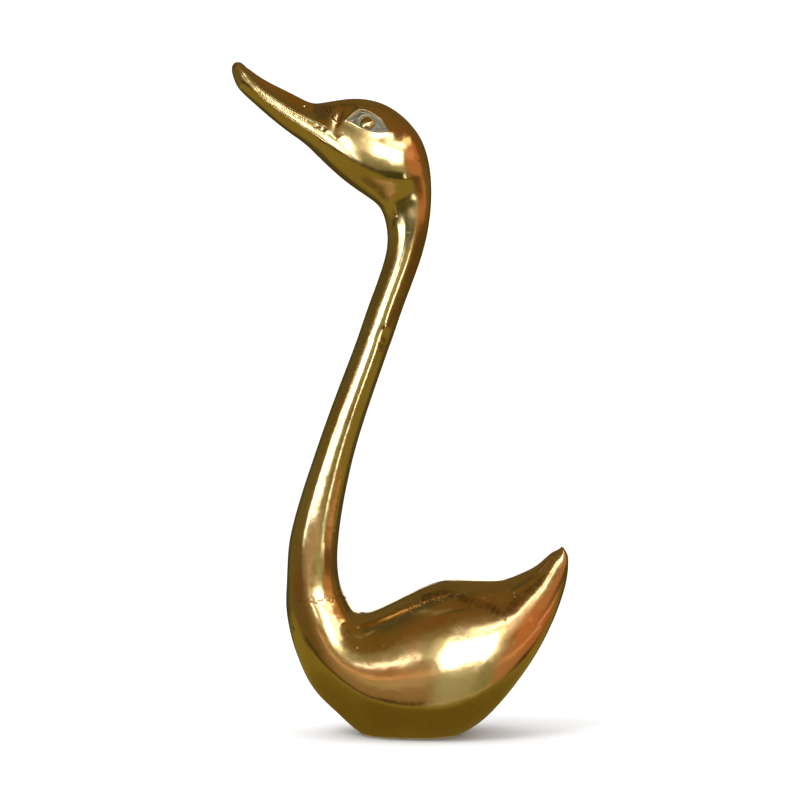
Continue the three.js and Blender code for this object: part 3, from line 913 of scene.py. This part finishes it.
# fine dark specks left in the surface
speck = nd.new("ShaderNodeTexVoronoi")
speck.inputs["Scale"].default_value = 430
ln.new(coord.outputs["Object"], speck.inputs["Vector"])
dots = scale_to(speck.outputs["Distance"], 0.10, 0.20, 1.0, 0.0)
where = scale_to(noise(38, 3, 0.6, offset=(7, 1, 3)), 0.50, 0.70, 0.0, 1.0)
dots = maths("MULTIPLY", dots, where, True)
colour = mix(maths("MULTIPLY", dots, 0.55), colour, (0.16, 0.10, 0.035))
# hollows darkened near black: painted shade, partly dark patina
colour = mix(maths("MULTIPLY", recess_shade_and_patina, 0.9), colour, (0.055, 0.036, 0.016))
grime = mix(noise(900, 3, 0.6), (0.16, 0.18, 0.17), (0.62, 0.66, 0.63))
colour = mix(maths("MULTIPLY", residue, 0.92), colour, grime)
ln.new(colour, bsdf.inputs["Base Color"])

smear = scale_to(noise(30, 5, 0.6, 0.8, stretch=(1, 1, 0.45)), 0.3, 0.75, 0.085, 0.19)
rough = maths("ADD", smear, scale_to(noise(240, 4, 0.6), 0.35, 0.75, -0.01, 0.045))
rough = maths("ADD", rough, maths("MULTIPLY", dots, 0.2))
rough = maths("ADD", rough, maths("MULTIPLY", recess_shade_and_patina, 0.30))
rough = maths("ADD", rough, maths("MULTIPLY", residue, 0.22), True)
ln.new(rough, bsdf.inputs["Roughness"])

fine = noise(520, 4, 0.6)
swirl = noise(150, 3, 0.55, 0.5)
lines = noise(900, 2, 0.5, stretch=(1, 1, 0.12))
height = maths("ADD", maths("MULTIPLY", fine, 0.35), maths("MULTIPLY", swirl, 0.9))
height = maths("ADD", height, maths("MULTIPLY", lines, 0.18))
height = maths("SUBTRACT", height, maths("MULTIPLY", dots, 0.5))
bump = nd.new("ShaderNodeBump")
bump.inputs["Strength"].default_value = 0.32
bump.inputs["Distance"].default_value = 0.00018
ln.new(height, bump.inputs["Height"])
ln.new(bump.outputs["Normal"], bsdf.inputs["Normal"])
swan.data.materials.append(brass)

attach(swan, "root" if "root" in frame["bodies"] else list(frame["bodies"])[0])
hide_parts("swan")

# =====================================================================
# Stage: pale floor, soft light, a room of soft patches for the metal
# =====================================================================
scene = bpy.context.scene


def stage_mesh(name, verts, polys, mat, **rays):
    m = bpy.data.meshes.new(name)
    m.from_pydata(verts, [], polys)
    o = bpy.data.objects.new(name, m)
    scene.collection.objects.link(o)
    m.materials.append(mat)
    for k in ("camera", "diffuse", "glossy", "transmission", "volume_scatter", "shadow"):
        setattr(o, "visible_" + k, rays.get(k, False))
    return o


paper, pn, pl = new_material("pale_paper")
po = pn.new("ShaderNodeOutputMaterial")
pb = pn.new("ShaderNodeBsdfDiffuse")
pb.inputs["Color"].default_value = (0.93, 0.93, 0.93, 1)
pl.new(pb.outputs["BSDF"], po.inputs["Surface"])
stage_mesh("floor", [(-12, -12, 0), (12, -12, 0), (12, 12, 0), (-12, 12, 0)], [(0, 1, 2, 3)], paper, camera=True, diffuse=False, shadow=False)

# The room: a glowing drum of radius 1.4 m that only the metal sees; its colours are the light it gives.
DRUM = 1.4
OLIVE, BROWN, DARK = (0.24, 0.19, 0.045), (0.21, 0.125, 0.045), (0.085, 0.05, 0.02)
ORANGE, CREAM, WHITE = (0.95, 0.42, 0.22), (0.80, 0.66, 0.42), (1.0, 0.96, 0.90)


def lerp(a, b, k):
    return a + (np.asarray(b) - a) * k[..., None]


def patch(az, z, a0, a1, z0, z1, sa=3.0, sz=0.05, lean=0.0):
    """Soft-edged panel between two azimuths (degrees) and two heights (metres); lean shifts it, degrees per metre."""
    q = az - lean * (z - (z0 + z1) / 2)
    return step(a0 - sa, a0 + sa, q) * (1 - step(a1 - sa, a1 + sa, q)) * step(z0 - sz, z0 + sz, z) * (1 - step(z1 - sz, z1 + sz, z))


def room(az, z):
    c = np.zeros(az.shape + (3,)) + np.array((0.185, 0.105, 0.026))
    # left: dull olive brown, greyer upwards
    left = 1 - step(-75, -40, az)
    c = lerp(c, (0.15, 0.115, 0.03), left)
    c = lerp(c, (0.10, 0.075, 0.03), left * step(0.5, 1.1, z))
    # between the two lights in front: dull gold
    c = lerp(c, (0.32, 0.28, 0.15), patch(az, z, -46, -6, 0.45, 1.35, 6, 0.14))
    # behind
    back = step(112, 140, np.abs(az))
    c = lerp(c, (0.07, 0.058, 0.024), back)
    c = lerp(c, (0.15, 0.10, 0.030), back * step(0.5, 1.3, z))
    # the far part of the table and what is under it
    c = lerp(c, (0.235, 0.185, 0.035), (1 - step(-0.12, -0.04, z)) * (1 - back))
    # dark gap over the table's edge on the left
    c = lerp(c, (0.045, 0.038, 0.008), patch(az, z, -75, 4, -0.05, 0.17, 6, 0.03))
    c = lerp(c, (0.06, 0.055, 0.014), patch(az, z, -14, 50, -0.35, -0.03, 6, 0.05))
    # warm wall on the right
    c = lerp(c, (0.50, 0.23, 0.085), patch(az, z, 44, 92, 0.30, 1.5, 6, 0.16))
    c = lerp(c, (0.85, 0.48, 0.24), patch(az, z, 46, 76, 0.80, 1.12, 8, 0.10) * 0.7)
    c = lerp(c, (0.12, 0.068, 0.018), patch(az, z, 60, 130, -0.4, 0.30, 8, 0.08))
    # below the main light: dull cream
    c = lerp(c, (0.36, 0.33, 0.17), patch(az, z, -14, 44, 0.12, 0.60, 5, 0.07))
    # main light in front
    c = lerp(c, (1.1, 1.0, 0.72), patch(az, z, -14, 40, 0.52, 1.20, 6, 0.10, lean=10))
    c = lerp(c, (6.0, 6.0, 5.8), patch(az, z, -5, 32, 0.66, 1.10, 4, 0.06, lean=14))
    # left light: low in the middle, taller on the left
    c = lerp(c, (4.5, 4.5, 4.4), patch(az, z, -18, -1, 0.26, 0.45, 2, 0.02))
    c = lerp(c, (4.5, 4.5, 4.4), patch(az, z, -31, -15, 0.28, 0.62, 2, 0.03))
    c = lerp(c, (4.5, 4.5, 4.4), patch(az, z, -31, -22, 0.5, 0.95, 1.5, 0.05))
    c = lerp(c, (4.5, 4.5, 4.4), patch(az, z, -48, -36, 0.24, 0.56, 2.5, 0.05))
    # high narrow light on the right
    c = lerp(c, (4.0, 3.9, 3.4), patch(az, z, 10, 52, 1.28, 1.44, 6, 0.05))
    c = lerp(c, (2.4, 1.8, 1.1), patch(az, z, 50, 82, 1.40, 1.70, 5, 0.08, lean=30))
    # bright floor seen past the table
    c = lerp(c, (3.6, 3.6, 3.1), patch(az, z, 31, 40, -0.04, 0.17, 1.5, 0.03))
    # soft panels behind and above, for the other side
    c = lerp(c, (2.0, 1.9, 1.7), patch(az, z, 158, 178, 0.18, 0.72, 4, 0.08))
    c = lerp(c, (1.6, 1.5, 1.3), patch(az, z, -176, -163, 0.10, 0.55, 3, 0.08))
    return c


def low_wall(az, z):
    """Low glowing surround near the body, seen only in the metal: the light it gives and how solid it is."""
    c = np.zeros(az.shape + (3,)) + np.array((0.30, 0.19, 0.08))
    c = lerp(c, (0.155, 0.10, 0.03), 1 - step(-60, -34, az))
    c = lerp(c, (0.46, 0.36, 0.20), patch(az, z, -30, -8, 0.100, 0.128, 6, 0.012))
    c = lerp(c, (0.38, 0.35, 0.19), step(-8, 6, az))
    c = lerp(c, (0.27, 0.25, 0.11), step(18, 30, az))
    c = lerp(c, (0.42, 0.20, 0.08), step(34, 48, az))
    # two thin bright orange lines: painted lit edges
    c = lerp(c, (1.25, 0.75, 0.42), patch(az, z, -40, 0, 0.134, 0.142, 5, 0.004))
    c = lerp(c, (0.9, 0.50, 0.26), patch(az, z, 44, 80, 0.100, 0.108, 6, 0.004))
    c = lerp(c, (0.07, 0.05, 0.012), patch(az, z, -95, -6, 0.026, 0.050, 8, 0.006))
    c = lerp(c, (0.62, 0.55, 0.32), patch(az, z, -2, 44, 0.022, 0.030, 8, 0.003))
    c = lerp(c, (0.245, 0.19, 0.035), 1 - step(0.020, 0.026, z))
    c = lerp(c, (0.10, 0.062, 0.014), step(52, 74, az) * (1 - step(0.04, 0.07, z)))
    top = np.interp(az, [-100, -60, -40, -3, 4, 40, 60, 100], [0.125, 0.165, 0.184, 0.180, 0.140, 0.134, 0.118, 0.105])
    a = (1 - step(-0.007, 0.007, z - top)) * (1 - step(78, 96, np.abs(az)))
    return c, a


def cheek_card(az, z):
    """Small glowing card beside the cheek, a dull colour, seen only in the metal."""
    c = np.zeros(az.shape + (3,)) + np.array((0.25, 0.225, 0.12))
    c = lerp(c, (0.36, 0.33, 0.20), step(0.415, 0.44, z))
    c = lerp(c, (0.27, 0.225, 0.10), 1 - step(-40, -33, az))
    c = lerp(c, (0.55, 0.47, 0.27), patch(az, z, -64, -36, 0.487, 0.500, 5, 0.006))
    a = np.maximum(patch(az, z, -26, 8, 0.397, 0.461, 3, 0.006), patch(az, z, -66, -35, 0.464, 0.520, 3, 0.004))
    return c, a


def throat_card(az, z):
    """Small card beside the top of the neck, glowing faintly dark, seen only in the metal."""
    c = np.zeros(az.shape + (3,)) + np.array((0.06, 0.058, 0.016))
    return c, patch(az, z, -15, 34, 0.362, 0.400, 4, 0.006)


def room_mesh():
    na, rows_z = 360, np.r_[np.linspace(-1.2, 2.6, 153), 2.75, 2.9, 3.0]
    rad = np.r_[np.full(153, DRUM), 1.2, 0.7, 0.02]
    az = np.arange(na) * 360.0 / na - 180.0
    A, Z = np.meshgrid(az, rows_z, indexing="xy")
    R = np.repeat(rad[:, None], na, 1)
    V = np.stack([R * np.sin(np.radians(A)), -R * np.cos(np.radians(A)), Z], -1).reshape(-1, 3)
    n = len(rows_z)
    idx = np.arange(n * na).reshape(n, na)
    a, b = idx[:-1], idx[1:]
    f = np.stack([a, np.roll(a, -1, 1), np.roll(b, -1, 1), b], -1).reshape(-1, 4)
    c = room(A, Z)
    return V, f, c.reshape(-1, 3)


def glow(name, attribute_name=None, colour=None):
    m, n, l = new_material(name)
    o, e = n.new("ShaderNodeOutputMaterial"), n.new("ShaderNodeEmission")
    l.new(e.outputs["Emission"], o.inputs["Surface"])
    if attribute_name:
        a = n.new("ShaderNodeAttribute")
        a.attribute_name = attribute_name
        l.new(a.outputs["Color"], e.inputs["Color"])
    else:
        e.inputs["Color"].default_value = (*colour, 1)
    m.cycles.emission_sampling = "NONE"
    return m


V, f, c = room_mesh()
drum = stage_mesh("room_drum", V.tolist(), f.tolist(), glow("room_light", "light"), glossy=True)
att = drum.data.attributes.new("light", "FLOAT_COLOR", "POINT")
att.data.foreach_set("color", np.c_[c, np.ones(len(c))].astype(np.float32).ravel())


def arc(name, centre, radius, a0, a1, z0, z1, shade):
    az, zz = np.arange(a0, a1 + 0.5, 1.0), np.linspace(z0, z1, int((z1 - z0) / 0.0015) + 1)
    A, Z = np.meshgrid(az, zz, indexing="xy")
    V = np.stack([centre[0] + radius * np.sin(np.radians(A)), centre[1] - radius * np.cos(np.radians(A)), Z], -1).reshape(-1, 3)
    i = np.arange(A.size).reshape(A.shape)
    f = np.stack([i[:-1, :-1], i[:-1, 1:], i[1:, 1:], i[1:, :-1]], -1).reshape(-1, 4)
    c, a = shade(A, Z)
    o = stage_mesh(name, V.tolist(), f.tolist(), veil(name + "_glow"), glossy=True)
    t = o.data.attributes.new("light", "FLOAT_COLOR", "POINT")
    t.data.foreach_set("color", np.c_[c.reshape(-1, 3), np.ones(a.size)].astype(np.float32).ravel())
    t = o.data.attributes.new("solid", "FLOAT", "POINT")
    t.data.foreach_set("value", a.astype(np.float32).ravel())
    return o


def veil(name):
    m, n, l = new_material(name)
    o, e, tr, mx = (n.new("ShaderNode" + k) for k in ("OutputMaterial", "Emission", "BsdfTransparent", "MixShader"))
    c, a = n.new("ShaderNodeAttribute"), n.new("ShaderNodeAttribute")
    c.attribute_name, a.attribute_name = "light", "solid"
    l.new(c.outputs["Color"], e.inputs["Color"])
    l.new(a.outputs["Fac"], mx.inputs[0])
    l.new(tr.outputs[0], mx.inputs[1])
    l.new(e.outputs[0], mx.inputs[2])
    l.new(mx.outputs[0], o.inputs["Surface"])
    m.cycles.emission_sampling = "NONE"
    return m


arc("low_wall", (0.0, 0.0), 0.26, -100, 100, 0.0004, 0.186, low_wall)
arc("cheek_card", (-0.02, 0.0), 0.17, -74, 18, 0.385, 0.530, cheek_card)
arc("throat_card", (0.0, 0.0), 0.16, -26, 46, 0.350, 0.410, throat_card)

# The table top as the metal sees it: a glowing olive sheet, with painted shade close to the swan and painted shadow
# behind it.
n = 90
gx, gy = np.meshgrid(np.linspace(-0.9, 0.9, n), np.linspace(-0.75, 0.6, n), indexing="xy")
V = np.stack([gx, gy, np.full_like(gx, 0.0002)], -1).reshape(-1, 3)
idx = np.arange(n * n).reshape(n, n)
f = np.stack([idx[:-1, :-1], idx[:-1, 1:], idx[1:, 1:], idx[1:, :-1]], -1).reshape(-1, 4)
r = np.hypot(gx - 0.01, gy + 0.02)
c = np.zeros(gx.shape + (3,)) + np.array((0.150, 0.103, 0.014))
# olive further out: the darker middle is painted shade round the swan
c = lerp(c, (0.245, 0.19, 0.035), step(0.05, 0.26, r))
# painted shadow behind the swan
c = lerp(c, (0.08, 0.065, 0.022), step(0.12, 0.45, gy))
table = stage_mesh("table_top", V.tolist(), f.tolist(), glow("table_light", "light"), glossy=True)
att = table.data.attributes.new("light", "FLOAT_COLOR", "POINT")
att.data.foreach_set("color", np.c_[c.reshape(-1, 3), np.ones(c.size // 3)].astype(np.float32).ravel())

# soft key light for the floor, from the upper left in front
key = bpy.data.lights.new("key_soft", "AREA")
key.shape, key.size, key.size_y, key.energy = "RECTANGLE", 1.2, 1.2, 26
key_o = bpy.data.objects.new("key_soft", key)
key_o.location = (-1.3, -1.5, 2.1)
d = np.array([1.35, 1.45, -2.0])
key_o.rotation_euler = (math.atan2(math.hypot(d[0], d[1]), -d[2]), 0, math.atan2(-d[0], d[1]))
key_o.visible_glossy = False
key_o.visible_camera = False
scene.collection.objects.link(key_o)

world = bpy.data.worlds.new("white_room")
world.use_nodes = True
wn, wl = world.node_tree.nodes, world.node_tree.links
wn.clear()
wo = wn.new("ShaderNodeOutputWorld")
wb = wn.new("ShaderNodeBackground")
wb.inputs["Color"].default_value = (1.0, 1.0, 1.0, 1)
wb.inputs["Strength"].default_value = 1.15
wl.new(wb.outputs["Background"], wo.inputs["Surface"])
scene.world = world
scene.view_settings.view_transform = "Standard"

# =====================================================================
# Camera at the photograph's viewpoint: level, square on to the side
# =====================================================================
cam = bpy.data.cameras.new("camera")
cam.lens, cam.sensor_width, cam.sensor_fit = 105, 36, "HORIZONTAL"
cam_o = bpy.data.objects.new("camera", cam)
cam_o.location = (0, -1.75, 0.25)
cam_o.rotation_euler = (math.pi / 2, 0, 0)
cam.clip_start, cam.clip_end = 0.05, 60
scene.collection.objects.link(cam_o)
scene.camera = cam_o

bpy.context.view_layer.update()
